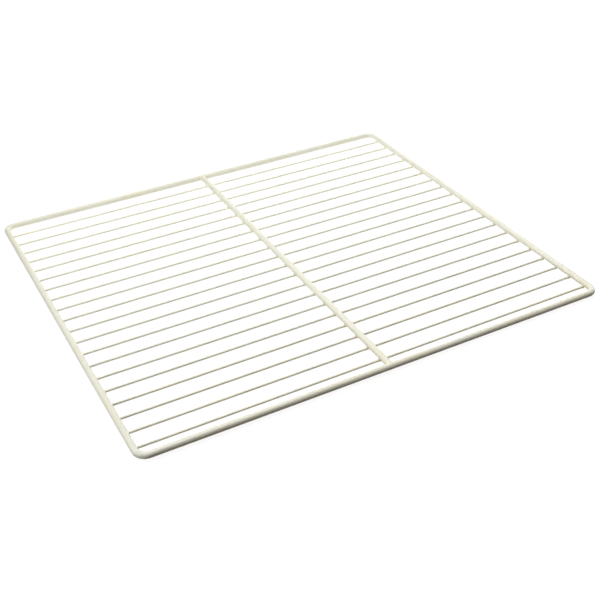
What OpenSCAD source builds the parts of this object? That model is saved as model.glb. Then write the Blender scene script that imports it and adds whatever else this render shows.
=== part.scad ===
// Fridge wire rack: a closed frame bent from one thick rod, one centre bar that joins
// its front and back, and thin cross wires welded underneath, all coated in plastic.
// X runs along the wires, Y from the front rod to the back rod and Z up. The origin
// is below the middle of the rack, on the surface that it rests on.

/* [Rack] */
// Outside width of the rack, along the cross wires
rack_width = 600; // [400:5:800]
// Outside depth of the rack, from the front rod to the back rod
rack_depth = 530; // [350:5:700]

/* [Frame] */
// Diameter of the coated rod that the frame is bent from
frame_rod_d = 7.8; // [6:0.2:12]
// Bend radius at the four corners, to the middle of the rod
corner_bend_r = 11.7; // [9:0.1:18]

/* [Centre bar] */
// Diameter of the coated centre bar
bar_rod_d = 7.8; // [6:0.2:12]
// How far the bar's square ends go in past the side of the frame rod
bar_end_bite = 2.2; // [0.6:0.1:2.6]
// How far along the bar the coating fillet at each end reaches
bar_fillet_reach = 3; // [2:0.2:8]
// How far that fillet spreads past the bar's side where it meets the frame
bar_fillet_spread = 1.2; // [0.6:0.1:3]
// Height of that fillet, which is flatter than the bar
bar_fillet_height = 5.4; // [3:0.2:5.8]

/* [Cross wires] */
// Diameter of a coated cross wire
wire_d = 2.8; // [2:0.1:4.5]
// Number of cross wires
wire_count = 20; // [8:1:26]
// Distance from the middle of the front or back rod to the nearest wire
wire_edge_gap = 20.8; // [18:0.2:40]
// How far each wire end stops short of the outside of the frame
wire_end_inset = 3.3; // [3:0.1:6]

/* [Welds] */
// How far a wire is pressed into the rods that it is welded under
weld_set_down = 0.2; // [0.1:0.05:0.5]
// How far along a wire the coating fillet reaches, from the side of the rod above
wire_fillet_reach = 4; // [2:0.5:12]
// How far that fillet swells past the wire's side under the rod
wire_fillet_swell = 0.5; // [0.2:0.1:2]
// How far the pressed flat under each weld stands below the wire
weld_flat_drop = 0.15; // [0.1:0.05:0.4]

/* [Hidden] */
frame_r = frame_rod_d / 2;
bar_r = bar_rod_d / 2;
wire_r = wire_d / 2;

// Heights of the three kinds of rod, to their middles, with the weld flats on z = 0
wire_z = wire_r + weld_flat_drop;
weld_z = wire_z + wire_r - weld_set_down;
frame_z = weld_z + frame_r;
bar_z = weld_z + bar_r;

// Middle of the side rails in x, and of the front and back rods in y
rail_x = rack_width / 2 - frame_r;
rail_y = rack_depth / 2 - frame_r;

// Even spacing of the wires between the front and back rods
first_wire_y = -rail_y + wire_edge_gap;
wire_pitch = 2 * (rail_y - wire_edge_gap) / (wire_count - 1);

// Wire ends are round blobs of coating, as thick as the fillet that leads into them
blob_r = wire_r + wire_fillet_swell;
blob_x = rack_width / 2 - wire_end_inset - blob_r;
end_fillet_length = blob_x - (rail_x - frame_r) + wire_fillet_reach;
bar_crossing_length = bar_r + wire_fillet_reach;

// The bar runs in past the inner side of the frame rod at both ends
bar_half_length = rail_y - frame_r + bar_end_bite;

// Sides of every circle, and of the much larger ones that the fillets' arcs come from
$fn = 64;
fillet_sides = 180;

function wire_name(i) = str("wire_", i < 10 ? "0" : "", i);

// Radius of the arc that leaves a side of the rod tangentially and rises by rise over length
function fillet_arc_r(length, rise) = (length * length + rise * rise) / (2 * rise);

// Half section of one side of a concave fillet on a round rod: x along the rod, y its radius
module fillet_section(rod_r, length, rise) {
    arc_r = fillet_arc_r(length, rise);
    difference() {
        square([length, rod_r + rise]);
        translate([length, rod_r + arc_r]) circle(r = arc_r, $fn = fillet_sides);
    }
}

// Turns a half section, drawn along x, into a round solid along the y axis
module turned() {
    rotate([-90, 0, 0]) rotate_extrude() rotate(90) mirror([0, 1]) children();
}

// The frame's closed loop: four straight lengths and four quarter bends
module frame_loop() {
    straight_x = rail_x - corner_bend_r;
    straight_y = rail_y - corner_bend_r;
    for (side = [-1, 1]) {
        translate([-straight_x, side * rail_y, frame_z])
            rotate([0, 90, 0]) cylinder(r = frame_r, h = 2 * straight_x);
        translate([side * rail_x, straight_y, frame_z])
            rotate([90, 0, 0]) cylinder(r = frame_r, h = 2 * straight_y);
    }
    for (corner = [[1, 1, 0], [-1, 1, 90], [-1, -1, 180], [1, -1, 270]])
        translate([corner[0] * straight_x, corner[1] * straight_y, frame_z])
            rotate(corner[2]) rotate_extrude(angle = 90)
                translate([corner_bend_r, 0]) circle(r = frame_r);
}

// The bar's round rod, cut square at both ends
module bar_rod() {
    translate([0, bar_half_length, bar_z])
        rotate([90, 0, 0]) cylinder(r = bar_r, h = 2 * bar_half_length);
}

// Flattened fillet of coating round one end of the bar, before the frame is cut from it
module bar_end_fillet() {
    seat_r = bar_r + bar_fillet_spread;
    intersection() {
        translate([0, rail_y - frame_r, bar_z]) turned() {
            mirror([1, 0]) fillet_section(bar_r, bar_fillet_reach, bar_fillet_spread);
            square([bar_end_bite, seat_r]);
        }
        translate([-seat_r, 0, bar_z - bar_fillet_height / 2])
            cube([2 * seat_r, rack_depth / 2, bar_fillet_height]);
    }
}

module frame() {
    color("ivory") frame_loop();
}

module centre_bar() {
    color("floralwhite") difference() {
        union() {
            bar_rod();
            bar_end_fillet();
            mirror([0, 1, 0]) bar_end_fillet();
        }
        frame_loop();
    }
}

// Half section of a whole wire: the rod, a fillet each way from the bar and a blob at each end
module wire_section() {
    translate([-blob_x, 0]) square([2 * blob_x, wire_r]);
    for (way = [0, 1]) mirror([way, 0]) {
        fillet_section(wire_r, bar_crossing_length, wire_fillet_swell);
        translate([blob_x, 0]) {
            mirror([1, 0]) fillet_section(wire_r, end_fillet_length, wire_fillet_swell);
            intersection() {
                circle(r = blob_r);
                square(blob_r);
            }
        }
    }
}

// Wire number i, counted from the front, pressed flat under its welds and seated
// in the undersides of the side rails and the centre bar
module cross_wire(i) {
    color("beige") difference() {
        translate([0, first_wire_y + (i - 1) * wire_pitch, wire_z])
            rotate([0, 0, -90]) turned() wire_section();
        frame_loop();
        bar_rod();
        translate([-rack_width / 2, -rack_depth / 2, -blob_r])
            cube([rack_width, rack_depth, blob_r]);
    }
}

frame();
centre_bar();
for (i = [1 : wire_count])
    cross_wire(i);
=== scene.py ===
import math

import bpy
import numpy as np
from mathutils import Matrix, Vector


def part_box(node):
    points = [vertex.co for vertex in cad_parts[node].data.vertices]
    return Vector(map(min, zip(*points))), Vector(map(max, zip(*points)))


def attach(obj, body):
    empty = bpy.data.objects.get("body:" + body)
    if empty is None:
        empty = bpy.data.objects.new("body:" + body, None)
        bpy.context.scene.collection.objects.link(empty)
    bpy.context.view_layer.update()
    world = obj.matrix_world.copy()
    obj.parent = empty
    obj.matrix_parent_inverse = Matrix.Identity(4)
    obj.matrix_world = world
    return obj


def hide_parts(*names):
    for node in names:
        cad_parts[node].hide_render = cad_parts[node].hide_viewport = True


# The rack's coated rods as smooth meshes that meet at the welds in pools of coating, with
# the coating's materials, the camera of the photograph and the studio

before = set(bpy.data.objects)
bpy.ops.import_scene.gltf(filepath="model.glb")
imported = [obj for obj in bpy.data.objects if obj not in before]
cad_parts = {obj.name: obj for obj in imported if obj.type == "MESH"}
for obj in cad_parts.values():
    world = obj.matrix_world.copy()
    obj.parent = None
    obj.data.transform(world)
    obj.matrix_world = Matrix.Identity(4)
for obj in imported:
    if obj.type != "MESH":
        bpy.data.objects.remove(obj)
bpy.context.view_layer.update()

MM = 0.001

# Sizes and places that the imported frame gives
frame_low, frame_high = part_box("frame")
bar_low, bar_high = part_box("centre_bar")
wire_nodes = sorted(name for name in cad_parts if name.startswith("wire_"))
ROD_RADIUS = (frame_high.z - frame_low.z) / 2
ROD_Z = (frame_high.z + frame_low.z) / 2
RAIL_X = frame_high.x - ROD_RADIUS
RAIL_Y = frame_high.y - ROD_RADIUS
BAR_RADIUS = (bar_high.z - bar_low.z) / 2
BAR_Z = (bar_high.z + bar_low.z) / 2
wire_low, wire_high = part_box(wire_nodes[0])
WIRE_END_X = wire_high.x
BLOB_RADIUS = (wire_high.y - wire_low.y) / 2

# Sizes that the solids were drawn with
BEND_RADIUS = 11.7 * MM
BAR_END_BITE = 2.2 * MM
WIRE_RADIUS = 1.4 * MM
FLAT_DROP = 0.15 * MM
FILLET_REACH = 4 * MM

WIRE_Z = WIRE_RADIUS + FLAT_DROP
BLOB_X = WIRE_END_X - BLOB_RADIUS
SWELL = BLOB_RADIUS - WIRE_RADIUS
BAR_END_Y = RAIL_Y - ROD_RADIUS + BAR_END_BITE
WIRE_Y = np.array([(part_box(node)[0].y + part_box(node)[1].y) / 2 for node in wire_nodes])

# How far the coating pools in the corners where rods meet: at the wires, with some spread
# between them, and at the bar's ends, from the most at its sides to the least at its top
POOL_REACH = 2.0 * MM
POOL_SPREAD = 0.4 * MM
BAR_POOL_REACH = 1.2 * MM
THINNEST_POOL = 0.1 * MM
SEED = 7
WIRE_POOL = POOL_REACH + POOL_SPREAD * np.random.default_rng(SEED).uniform(-1, 1, len(WIRE_Y))

# How steeply each piece's half of a pool sinks under the other half past its middle, and how
# far it goes on there
POOL_SINK = 0.15
POOL_OVERLAP = 0.8 * MM

# How far the edges of the wires' pressed flats and of the bar's square ends are rounded
FLAT_EDGE = 0.35 * MM
BAR_END_EDGE = 2.4 * MM

# How far from a weld the painted yellow shade spreads, and how strong it is at a wire
WELD_SHADE_SPREAD = 5 * MM
WIRE_WELD_SHADE = 0.35

# How finely the rods are drawn: sides of a ring, steps round a bend or an end, and steps
# along the plain lengths and near the welds
FRAME_SIDES = 56
BAR_SIDES = 56
WIRE_SIDES = 36
BEND_STEPS = 18
BAR_TIP_STEPS = 36
WIRE_TIP_STEPS = 10
ROD_STEP = 5 * MM
WIRE_STEP = 8 * MM
FINE_STEP = 0.35 * MM
WELD_STEP = 0.4 * MM

# How far the fine steps go on each side of a wire and of the bar, and inward from the last
# rings of the bar
WELD_HALF = 4.8 * MM
BAR_WELD_HALF = 7 * MM
BAR_END_FINE = 3.6 * MM

# Steps of a ray on its way to the skin, and the step over which a skin's slope is felt
MARCH_STEPS = 60
NORMAL_STEP = 0.02 * MM


def smooth_union(a, b, reach):
    """Distance to two solids joined by a fillet that starts where they are a reach apart."""
    mix = np.maximum(reach - np.abs(a - b), 0) / reach
    return np.minimum(a, b) - mix * mix * reach / 4


def smooth_overlap(a, b, reach):
    """Distance to what two solids share, with its edge rounded over a reach."""
    return -smooth_union(-a, -b, reach)


def frame_distance(p):
    """Distance from points to the skin of the bent frame rod, below zero inside it."""
    straight = np.array([RAIL_X - BEND_RADIUS, RAIL_Y - BEND_RADIUS])
    past = np.abs(p[..., :2]) - straight
    outline = np.linalg.norm(np.maximum(past, 0), axis=-1) + np.minimum(past.max(-1), 0)
    return np.hypot(outline - BEND_RADIUS, p[..., 2] - ROD_Z) - ROD_RADIUS


def bar_distance(p):
    """Distance from points to the skin of the centre bar, which is cut square at its ends."""
    side = np.hypot(p[..., 0], p[..., 2] - BAR_Z) - BAR_RADIUS
    return smooth_overlap(side, np.abs(p[..., 1]) - BAR_END_Y, BAR_END_EDGE)


def swell_at(distance, length):
    """How far a wire's coating swells at a distance along a fillet of that length."""
    along = np.clip(distance, 0, length)
    radius = (length * length + SWELL * SWELL) / (2 * SWELL)
    return radius - np.sqrt(radius * radius - along * along)


def wire_distance(p, y):
    """Distance from points to the skin of the cross wire at y, before it is seated."""
    x = np.abs(p[..., 0])
    off_axis = np.hypot(p[..., 1] - y, p[..., 2] - WIRE_Z)
    end_length = BLOB_X - (RAIL_X - ROD_RADIUS) + FILLET_REACH
    bar_length = BAR_RADIUS + FILLET_REACH
    radius = WIRE_RADIUS + np.maximum(
        swell_at(x - BLOB_X + end_length, end_length), swell_at(bar_length - x, bar_length))
    past_end = np.maximum(x - BLOB_X, 0)
    return np.hypot(past_end, off_axis) - radius


def nearest_wire(p):
    """Distance from points to the skin of the nearest cross wire, and how far its coating pools."""
    pitch = WIRE_Y[1] - WIRE_Y[0]
    number = np.clip(np.rint((p[..., 1] - WIRE_Y[0]) / pitch), 0, len(WIRE_Y) - 1).astype(int)
    return wire_distance(p, WIRE_Y[number]), WIRE_POOL[number]


def bar_pool(p):
    """How far coating pools round the ends of the bar: less and less towards its top and bottom."""
    height = np.clip(np.abs(p[..., 2] - BAR_Z) / BAR_RADIUS, 0, 1)
    return np.maximum(BAR_POOL_REACH * (1 - height * height), THINNEST_POOL)


def own_half(own, other, reach):
    """Distance to a piece with its own half of the coating that pools between it and another
    piece. Past the middle of the pool it sinks under the other piece's half and soon ends."""
    past = own - other
    half = smooth_union(own, other, reach) + POOL_SINK * np.maximum(past, 0)
    # The difference of two distances can grow twice as fast as a distance, so it is halved
    end = (past - POOL_OVERLAP) / 2
    return np.minimum(own, np.maximum(half, end))


def frame_solid(p, joined):
    """Distance to the frame, joined to the bar and the wires by pools of coating."""
    own = frame_distance(p)
    return np.minimum(joined(own, bar_distance(p), bar_pool(p)), joined(own, *nearest_wire(p)))


def bar_solid(p, joined):
    """Distance to the bar, joined to the frame and the wires by pools of coating."""
    own = bar_distance(p)
    return np.minimum(joined(own, frame_distance(p), bar_pool(p)), joined(own, *nearest_wire(p)))


def wire_solid(p, joined):
    """Distance to the nearest wire, pressed flat and joined to the rods by pools of coating."""
    own, reach = nearest_wire(p)
    rods = np.minimum(frame_distance(p), bar_distance(p))
    return smooth_overlap(joined(own, rods, reach), -p[..., 2], FLAT_EDGE)


def skin_points(centres, ways, solid):
    """Where rays that leave the centres, inside a piece, come out through its skin. The piece
    has its own half of each pool."""
    reached = np.zeros(ways.shape[:-1])
    for _ in range(MARCH_STEPS):
        reached -= solid(centres + reached[..., None] * ways, own_half)
    return centres + reached[..., None] * ways


def skin_normals(points, solid):
    """The outward way at points on a piece. It follows the whole pools, so that the halves of
    two pieces meet without a crease."""
    steps = np.eye(3) * NORMAL_STEP
    slopes = [solid(points + step, smooth_union) - solid(points - step, smooth_union) for step in steps]
    normals = np.stack(slopes, -1)
    return normals / np.linalg.norm(normals, axis=-1, keepdims=True)


def even_run(start, end, step):
    """Evenly spaced places from start to end, about a step apart."""
    return np.linspace(start, end, max(2, round(abs(end - start) / step) + 1))


def run_past(start, end, welds, half):
    """Places from start to end: a weld step apart up to a half each side of the welds, and a
    rod step apart elsewhere."""
    places = [[start]]
    for weld in welds:
        places.append(even_run(places[-1][-1], weld - half, ROD_STEP)[1:])
        places.append(even_run(weld - half, weld + half, WELD_STEP)[1:])
    places.append(even_run(places[-1][-1], end, ROD_STEP)[1:])
    return np.concatenate(places)


def along_axis(places, origin, sides, axis, end_steps):
    """Centres and directions of rays that leave a straight axis: a ring of them at each place
    along it, and rings that tilt more and more at the first and the last place. The ray that
    goes straight out at each end comes apart from the rings."""
    turn = np.arange(sides) * (2 * math.pi / sides)
    ring = np.zeros((sides, 3))
    ring[:, 2] = np.sin(turn)
    ring[:, 1 - axis] = np.cos(turn) * (-1 if axis == 0 else 1)
    tip = np.zeros(3)
    tip[axis] = 1
    tilts = np.arange(1, end_steps) * (math.pi / 2 / end_steps)
    rows = [(places[0], -tilt) for tilt in tilts[::-1]]
    rows += [(place, 0.0) for place in places]
    rows += [(places[-1], tilt) for tilt in tilts]
    ways = np.array([ring * math.cos(tilt) + tip * math.sin(tilt) for _, tilt in rows])
    centres = np.zeros_like(ways)
    centres[..., axis] = np.array([place for place, _ in rows])[:, None]
    ends = np.array([places[0] * tip, places[-1] * tip])
    return centres + origin, ways, (ends + origin, np.array([-tip, tip]))


def tube_faces(rows, sides, closed):
    """Faces of a grid of rings: joined end to end, or with a fan at each end."""
    row, side = np.meshgrid(np.arange(rows if closed else rows - 1), np.arange(sides), indexing="ij")
    here = row * sides
    ahead = (row + 1) % rows * sides
    beside = (side + 1) % sides
    quads = np.stack([here + side, ahead + side, ahead + beside, here + beside], -1)
    faces = quads.reshape(-1, 4).tolist()
    if not closed:
        first, last, final = rows * sides, rows * sides + 1, (rows - 1) * sides
        faces += [[first, s, (s + 1) % sides] for s in range(sides)]
        faces += [[last, final + (s + 1) % sides, final + s] for s in range(sides)]
    return faces


def weld_shade(points):
    """How much painted shade, in yellow, each point takes: one at the middle of a bar weld, zero far
    from all.
    """
    x, y, z = points.T
    # Painted shade where the pieces meet: strongest at the bar's welds, weaker at the wires' welds
    from_bar_welds = np.sqrt(x ** 2 + (np.abs(y) - (RAIL_Y - ROD_RADIUS)) ** 2 + (z - ROD_Z) ** 2)
    across = np.minimum(np.abs(x), np.abs(np.abs(x) - RAIL_X))
    along = np.abs(y[:, None] - WIRE_Y).min(1)
    from_wire_welds = np.sqrt(across ** 2 + along ** 2 + (z - (ROD_Z - ROD_RADIUS)) ** 2)
    bar_shade = np.exp(-(from_bar_welds / WELD_SHADE_SPREAD) ** 2)
    wire_shade = WIRE_WELD_SHADE * np.exp(-(from_wire_welds / WELD_SHADE_SPREAD) ** 2)
    return np.maximum(bar_shade, wire_shade)


def new_piece(node, points, faces, solid, material):
    """A smooth mesh piece that stands for a node and rides with the rack."""
    name = node + "_coated"
    mesh = bpy.data.meshes.new(name)
    mesh.from_pydata(points.tolist(), [], faces)
    # Each point's share of the painted yellow shade round the welds
    mesh.attributes.new("weld_shade", "FLOAT", "POINT").data.foreach_set("value", weld_shade(points))
    mesh.shade_smooth()
    mesh.normals_split_custom_set_from_vertices(skin_normals(points, solid).tolist())
    mesh.materials.append(material)
    piece = bpy.data.objects.new(name, mesh)
    bpy.context.scene.collection.objects.link(piece)
    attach(piece, "root")
    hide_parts(node)


def rod_piece(node, centres, rays, poles, solid, material):
    """A piece whose points are marched outward from its axis: rings, and a point at each end."""
    rings = skin_points(centres, rays, solid).reshape(-1, 3)
    points = np.concatenate([rings, skin_points(*poles, solid)])
    new_piece(node, points, tube_faces(*rays.shape[:2], closed=False), solid, material)


def frame_centreline():
    """Points along the middle of the frame's rod, with the outward way at each: a bend and then
    a straight length, four times."""
    bend_x = RAIL_X - BEND_RADIUS
    bend_y = RAIL_Y - BEND_RADIUS
    along_front = run_past(-bend_x, bend_x, [0], BAR_WELD_HALF)[1:-1]
    along_rail = run_past(-bend_y, bend_y, WIRE_Y, WELD_HALF)[1:-1]
    points, ways = [], []
    for number, (sx, sy) in enumerate(((1, 1), (-1, 1), (-1, -1), (1, -1))):
        angles = (number + np.linspace(0, 1, BEND_STEPS + 1)) * (math.pi / 2)
        around = np.stack([np.cos(angles), np.sin(angles)], -1)
        points.append(np.array([sx * bend_x, sy * bend_y]) + BEND_RADIUS * around)
        ways.append(around)
        way = around[-1]
        travel = np.array([-way[1], way[0]])
        distance, along = ((RAIL_Y, along_front), (RAIL_X, along_rail))[number % 2]
        points.append(distance * way + along[:, None] * travel)
        ways.append(np.tile(way, (len(along), 1)))
    return np.concatenate(points), np.concatenate(ways)


def make_frame(material):
    """The frame's closed loop of rod, with its half of the coating pooled round the welds."""
    points, ways = frame_centreline()
    turn = np.arange(FRAME_SIDES) * (2 * math.pi / FRAME_SIDES)
    middle = np.column_stack([points, np.full(len(points), ROD_Z)])[:, None]
    outward = np.column_stack([ways, np.zeros(len(ways))])[:, None]
    up = np.array([0.0, 0.0, 1.0])
    rays = np.cos(turn)[:, None] * outward + np.sin(turn)[:, None] * up
    rings = skin_points(middle, rays, frame_solid).reshape(-1, 3)
    faces = tube_faces(*rays.shape[:2], closed=True)
    new_piece("frame", rings, faces, frame_solid, material)


def make_bar(material):
    """The centre bar, let into the front and back rods, with its half of the pooled coating."""
    turn_y = BAR_END_Y - BAR_RADIUS
    fine_y = turn_y - BAR_END_FINE
    ending = even_run(fine_y, turn_y, FINE_STEP)[1:]
    between = run_past(-fine_y, fine_y, WIRE_Y, WELD_HALF)
    places = np.concatenate([-ending[::-1], between, ending])
    centres, rays, poles = along_axis(places, np.array([0, 0, BAR_Z]), BAR_SIDES, 1, BAR_TIP_STEPS)
    rod_piece("centre_bar", centres, rays, poles, bar_solid, material)


def make_wire(node, y, material):
    """A cross wire with its end blobs, the flats under its welds and its half of the coating
    that has pooled between it and the rods above it."""
    crossing = BAR_RADIUS + FILLET_REACH + POOL_REACH
    end_start = RAIL_X - ROD_RADIUS - FILLET_REACH - POOL_REACH
    half = np.concatenate([
        even_run(0, crossing, FINE_STEP)[:-1],
        even_run(crossing, end_start, WIRE_STEP)[:-1],
        even_run(end_start, BLOB_X, FINE_STEP)])
    places = np.concatenate([-half[:0:-1], half])
    centres, rays, poles = along_axis(places, np.array([0, y, WIRE_Z]), WIRE_SIDES, 0, WIRE_TIP_STEPS)
    rod_piece(node, centres, rays, poles, wire_solid, material)


# Coating: tints, the painted shade round the welds, gloss and how high and wide its unevenness is
ROD_COLOUR = (0.94, 0.93, 0.81)
WIRE_COLOUR = (0.95, 0.94, 0.80)
WARM_SHARE = (0.98, 0.96, 0.88)
# Painted yellow shade round the welds: the share of each channel that it leaves
WELD_SHADE_SHARE = (0.97, 0.92, 0.74)
TINT_WIDTH = 70 * MM
# How much of the painted shade round the welds its patches let through
WELD_SHADE_RANGE = (0.35, 0.7)
COATING_IOR = 1.5
ROUGHNESS_RANGE = (0.28, 0.44)
ROUGHNESS_WIDTH = 9 * MM
PEEL_WIDTH = 1.3 * MM
PEEL_HEIGHT = 0.012 * MM
SAG_WIDTH = 14 * MM
SAG_HEIGHT = 0.12 * MM

# The middle part of what a noise pattern gives, which a range of results is stretched over
NOISE_RANGE = (0.3, 0.7)


def new_node(tree, kind, **settings):
    """A shader node of a kind with its settings."""
    node = tree.nodes.new("ShaderNode" + kind)
    for name, value in settings.items():
        setattr(node, name, value)
    return node


def noise(tree, width, detail):
    """A cloudy pattern, fixed to the object, whose clouds are about a width across."""
    place = new_node(tree, "TexCoord")
    cloud = new_node(tree, "TexNoise")
    cloud.inputs["Scale"].default_value = 1 / width
    cloud.inputs["Detail"].default_value = detail
    tree.links.new(place.outputs["Object"], cloud.inputs["Vector"])
    return cloud.outputs["Fac"]


def spread(tree, value, low, high, given=NOISE_RANGE):
    """Stretches a value from a given range to a range of results, and stops at its ends."""
    ranged = new_node(tree, "MapRange")
    ranged.inputs["From Min"].default_value, ranged.inputs["From Max"].default_value = given
    ranged.inputs["To Min"].default_value, ranged.inputs["To Max"].default_value = low, high
    tree.links.new(value, ranged.inputs["Value"])
    return ranged.outputs["Result"]


def product(tree, a, b):
    """Two values multiplied."""
    times = new_node(tree, "Math", operation="MULTIPLY")
    tree.links.new(a, times.inputs[0])
    tree.links.new(b, times.inputs[1])
    return times.outputs[0]


def toward(tree, start, colour, amount):
    """A colour that goes from a start towards another one by an amount."""
    mix = new_node(tree, "Mix", data_type="RGBA")
    if isinstance(start, tuple):
        mix.inputs["A"].default_value = (*start, 1)
    else:
        tree.links.new(start, mix.inputs["A"])
    mix.inputs["B"].default_value = (*colour, 1)
    tree.links.new(amount, mix.inputs["Factor"])
    return mix.outputs["Result"]


def bumped(tree, pattern, height, under=None):
    """A surface raised by a pattern, on top of another bump if there is one."""
    bump = new_node(tree, "Bump")
    bump.inputs["Distance"].default_value = height
    tree.links.new(pattern, bump.inputs["Height"])
    if under:
        tree.links.new(under, bump.inputs["Normal"])
    return bump.outputs["Normal"]


def shaded(colour, share):
    """A colour with each channel cut to its share."""
    return tuple(channel * part for channel, part in zip(colour, share))


def coating_material(name, colour):
    """Cream-white plastic dip coating: soft clouds of tint, painted yellow shade round the welds,
    half glossy, with the fine orange peel and the slow unevenness of a coat that has run a little."""
    material = bpy.data.materials.new(name)
    material.use_nodes = True
    tree = material.node_tree
    shader = tree.nodes["Principled BSDF"]
    shader.inputs["IOR"].default_value = COATING_IOR
    warmth = spread(tree, noise(tree, TINT_WIDTH, detail=3), 0, 1)
    tint = toward(tree, colour, shaded(colour, WARM_SHARE), warmth)
    # Painted shade in yellow, in patches, where the pieces meet at the welds
    weld_shade_amount = new_node(tree, "Attribute", attribute_name="weld_shade").outputs["Fac"]
    shade_patches = spread(tree, noise(tree, WELD_SHADE_SPREAD, detail=2), *WELD_SHADE_RANGE)
    tint = toward(tree, tint, shaded(colour, WELD_SHADE_SHARE), product(tree, weld_shade_amount, shade_patches))
    tree.links.new(tint, shader.inputs["Base Color"])
    roughness = spread(tree, noise(tree, ROUGHNESS_WIDTH, detail=3), *ROUGHNESS_RANGE)
    tree.links.new(roughness, shader.inputs["Roughness"])
    sag = bumped(tree, noise(tree, SAG_WIDTH, detail=1), SAG_HEIGHT)
    peel = bumped(tree, noise(tree, PEEL_WIDTH, detail=1), PEEL_HEIGHT, sag)
    tree.links.new(peel, shader.inputs["Normal"])
    return material


# Camera, in degrees and metres, as fitted to the rods and wires in the photograph
CAMERA_TARGET = Vector((-0.02656, -0.09724, 0.0067))
CAMERA_DISTANCE = 1.1890
CAMERA_AZIMUTH = 27.495
CAMERA_ELEVATION = 34.518
CAMERA_ROLL = -1.412

# The camera's lens and sensor in millimetres, and the nearest and farthest it sees in metres
CAMERA_LENS = 58.493
SENSOR_WIDTH = 36
CLIP_START = 0.05
CLIP_END = 50


def make_camera():
    """The photograph's viewing angle."""
    azimuth, elevation, roll = map(math.radians, (CAMERA_AZIMUTH, CAMERA_ELEVATION, CAMERA_ROLL))
    ahead = Vector((math.sin(azimuth) * math.cos(elevation),
                    math.cos(azimuth) * math.cos(elevation), -math.sin(elevation)))
    level = Vector((math.cos(azimuth), -math.sin(azimuth), 0))
    above = level.cross(ahead)
    right = level * math.cos(roll) + above * math.sin(roll)
    up = above * math.cos(roll) - level * math.sin(roll)
    data = bpy.data.cameras.new("camera")
    data.lens = CAMERA_LENS
    data.sensor_width = SENSOR_WIDTH
    data.clip_start = CLIP_START
    data.clip_end = CLIP_END
    camera = bpy.data.objects.new("camera", data)
    turn = Matrix((right, up, -ahead)).transposed().to_4x4()
    camera.matrix_world = Matrix.Translation(CAMERA_TARGET - ahead * CAMERA_DISTANCE) @ turn
    bpy.context.scene.collection.objects.link(camera)
    bpy.context.scene.camera = camera


def put_lamp(data, place, target, power):
    """A lamp that stands at a place and looks at a target."""
    data.energy = power
    lamp = bpy.data.objects.new(data.name, data)
    lamp.location = place
    lamp.rotation_euler = (Vector(target) - Vector(place)).to_track_quat("-Z", "Y").to_euler()
    bpy.context.scene.collection.objects.link(lamp)


def make_lamp(name, place, power):
    """A soft square lamp that looks at the middle of the rack."""
    data = bpy.data.lights.new(name, "AREA")
    data.shape = "SQUARE"
    data.size = LAMP_WIDTH
    put_lamp(data, place, (0, 0, 0), power)


def make_spot():
    """A soft spotlight whose cone fades out from its middle to its edge."""
    data = bpy.data.lights.new("left_spot", "SPOT")
    data.shadow_soft_size = SPOT_RADIUS
    data.spot_size = SPOT_CONE
    data.spot_blend = SPOT_BLEND
    put_lamp(data, SPOT_PLACE, SPOT_TARGET, SPOT_POWER)


def seen_directly(tree):
    """One where a camera, mirror or see-through ray arrives and zero for the bounce of light."""
    path = new_node(tree, "LightPath")
    found = path.outputs["Is Camera Ray"]
    for kind in ("Is Glossy Ray", "Is Transmission Ray"):
        either = new_node(tree, "Math", operation="MAXIMUM")
        tree.links.new(found, either.inputs[0])
        tree.links.new(path.outputs[kind], either.inputs[1])
        found = either.outputs[0]
    return found


# The floor: how far it reaches, how bright it glows near the rack and far from it, the
# distances between which that changes, and how pale its paper is, on which the shadow falls
FLOOR_HALF = 3.0
FLOOR_GLOW = (0.9, 1.0)
FLOOR_FADE = (0.4, 0.7)
FLOOR_SHADE = 0.25

# The light that the floor throws up at the rack, which grows from the front of the rack to
# the back, is warm at the front and is weak beyond the left rail
BOUNCE_Y = (-0.3, 0.3)
BOUNCE_LEVELS = (0.08, 1.18)
BOUNCE_LEFT_X = (-0.32, -0.28)
BOUNCE_LEFT_SHARE = 0.25
BOUNCE_WARM = (1.0, 0.72, 0.3)
BOUNCE_WARM_Y = (-0.3, -0.09)


def seen_floor(tree):
    """What the eye sees of the floor: white, with a faint shadow under the rack."""
    shade = new_node(tree, "BsdfDiffuse")
    shade.inputs["Color"].default_value = (FLOOR_SHADE,) * 3 + (1,)
    place = new_node(tree, "TexCoord")
    away = new_node(tree, "VectorMath", operation="LENGTH")
    tree.links.new(place.outputs["Object"], away.inputs[0])
    glow = new_node(tree, "Emission")
    tree.links.new(spread(tree, away.outputs["Value"], *FLOOR_GLOW, FLOOR_FADE), glow.inputs["Strength"])
    both = new_node(tree, "AddShader")
    tree.links.new(shade.outputs[0], both.inputs[0])
    tree.links.new(glow.outputs[0], both.inputs[1])
    return both.outputs[0]


def floor_bounce(tree):
    """The light that the floor sends up: little and warm at the front and more at the back."""
    place = new_node(tree, "TexCoord")
    apart = new_node(tree, "SeparateXYZ")
    tree.links.new(place.outputs["Object"], apart.inputs[0])
    level = spread(tree, apart.outputs["Y"], *BOUNCE_LEVELS, BOUNCE_Y)
    share = spread(tree, apart.outputs["X"], BOUNCE_LEFT_SHARE, 1, BOUNCE_LEFT_X)
    cooled = spread(tree, apart.outputs["Y"], 0, 1, BOUNCE_WARM_Y)
    bounce = new_node(tree, "Emission")
    tree.links.new(product(tree, level, share), bounce.inputs["Strength"])
    tree.links.new(toward(tree, BOUNCE_WARM, (1, 1, 1), cooled), bounce.inputs["Color"])
    return bounce.outputs[0]


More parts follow.
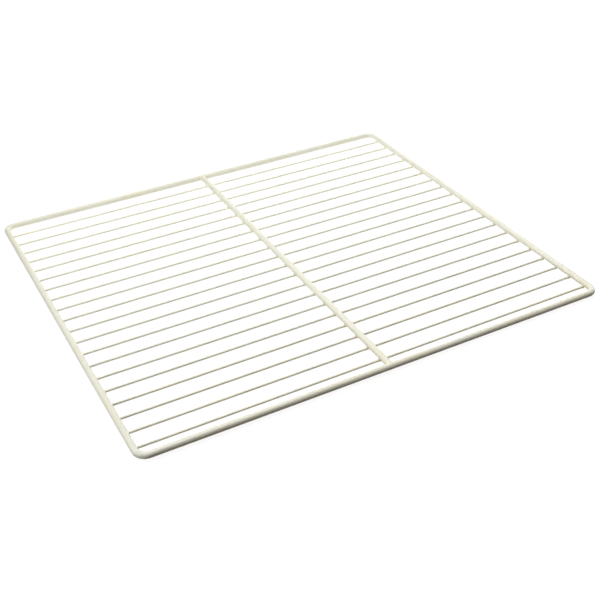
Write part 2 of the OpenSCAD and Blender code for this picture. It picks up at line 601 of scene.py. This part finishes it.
def make_floor():
    """Pale floor that the rack lies on."""
    mesh = bpy.data.meshes.new("floor")
    corners = ((-1, -1), (1, -1), (1, 1), (-1, 1))
    mesh.from_pydata([(x * FLOOR_HALF, y * FLOOR_HALF, 0) for x, y in corners], [], [(0, 1, 2, 3)])
    floor = bpy.data.objects.new("floor", mesh)
    bpy.context.scene.collection.objects.link(floor)
    material = bpy.data.materials.new("floor_paper")
    material.use_nodes = True
    tree = material.node_tree
    tree.nodes.clear()
    mix = new_node(tree, "MixShader")
    tree.links.new(seen_directly(tree), mix.inputs["Fac"])
    tree.links.new(floor_bounce(tree), mix.inputs[1])
    tree.links.new(seen_floor(tree), mix.inputs[2])
    tree.links.new(mix.outputs[0], new_node(tree, "OutputMaterial").inputs["Surface"])
    mesh.materials.append(material)


def make_world():
    """Surroundings that are white to the eye and add no light of their own to the rack."""
    world = bpy.data.worlds.new("studio")
    bpy.context.scene.world = world
    world.use_nodes = True
    tree = world.node_tree
    background = tree.nodes["Background"]
    background.inputs["Color"].default_value = (1, 1, 1, 1)
    tree.links.new(seen_directly(tree), background.inputs["Strength"])


# The soft lamps: their width and where each stands, in metres, and the power of each in watts
LAMP_WIDTH = 0.8
LAMPS = {
    "top_lamp": ((0, 0, 1.4), 11.5),
    "back_lamp": ((0, 0.8, 1.2), 3.1),
    "left_lamp": ((-1.15, 0, 0.9), 3.1),
    "front_left_lamp": ((-1, -1, 0.6), 0.4),
    "right_lamp": ((1.35, 0, 0.4), 4.7),
    "back_right_lamp": ((1, 1, 0.6), 3.2),
}

# The spotlight on the left, which lights the front of the rack more than the back
SPOT_PLACE = (-3.6, -0.3, 1.05)
SPOT_TARGET = (0, -0.25, 0)
SPOT_CONE = math.radians(14)
SPOT_BLEND = 1
SPOT_RADIUS = 0.4
SPOT_POWER = 250

rod_material = coating_material("rod_coating", ROD_COLOUR)
wire_material = coating_material("wire_coating", WIRE_COLOUR)
make_frame(rod_material)
make_bar(rod_material)
for wire_node, wire_y in zip(wire_nodes, WIRE_Y):
    make_wire(wire_node, wire_y, wire_material)

make_camera()
make_world()
make_floor()
for lamp_name, lamp_settings in LAMPS.items():
    make_lamp(lamp_name, *lamp_settings)
make_spot()
bpy.context.scene.view_settings.view_transform = "Standard"
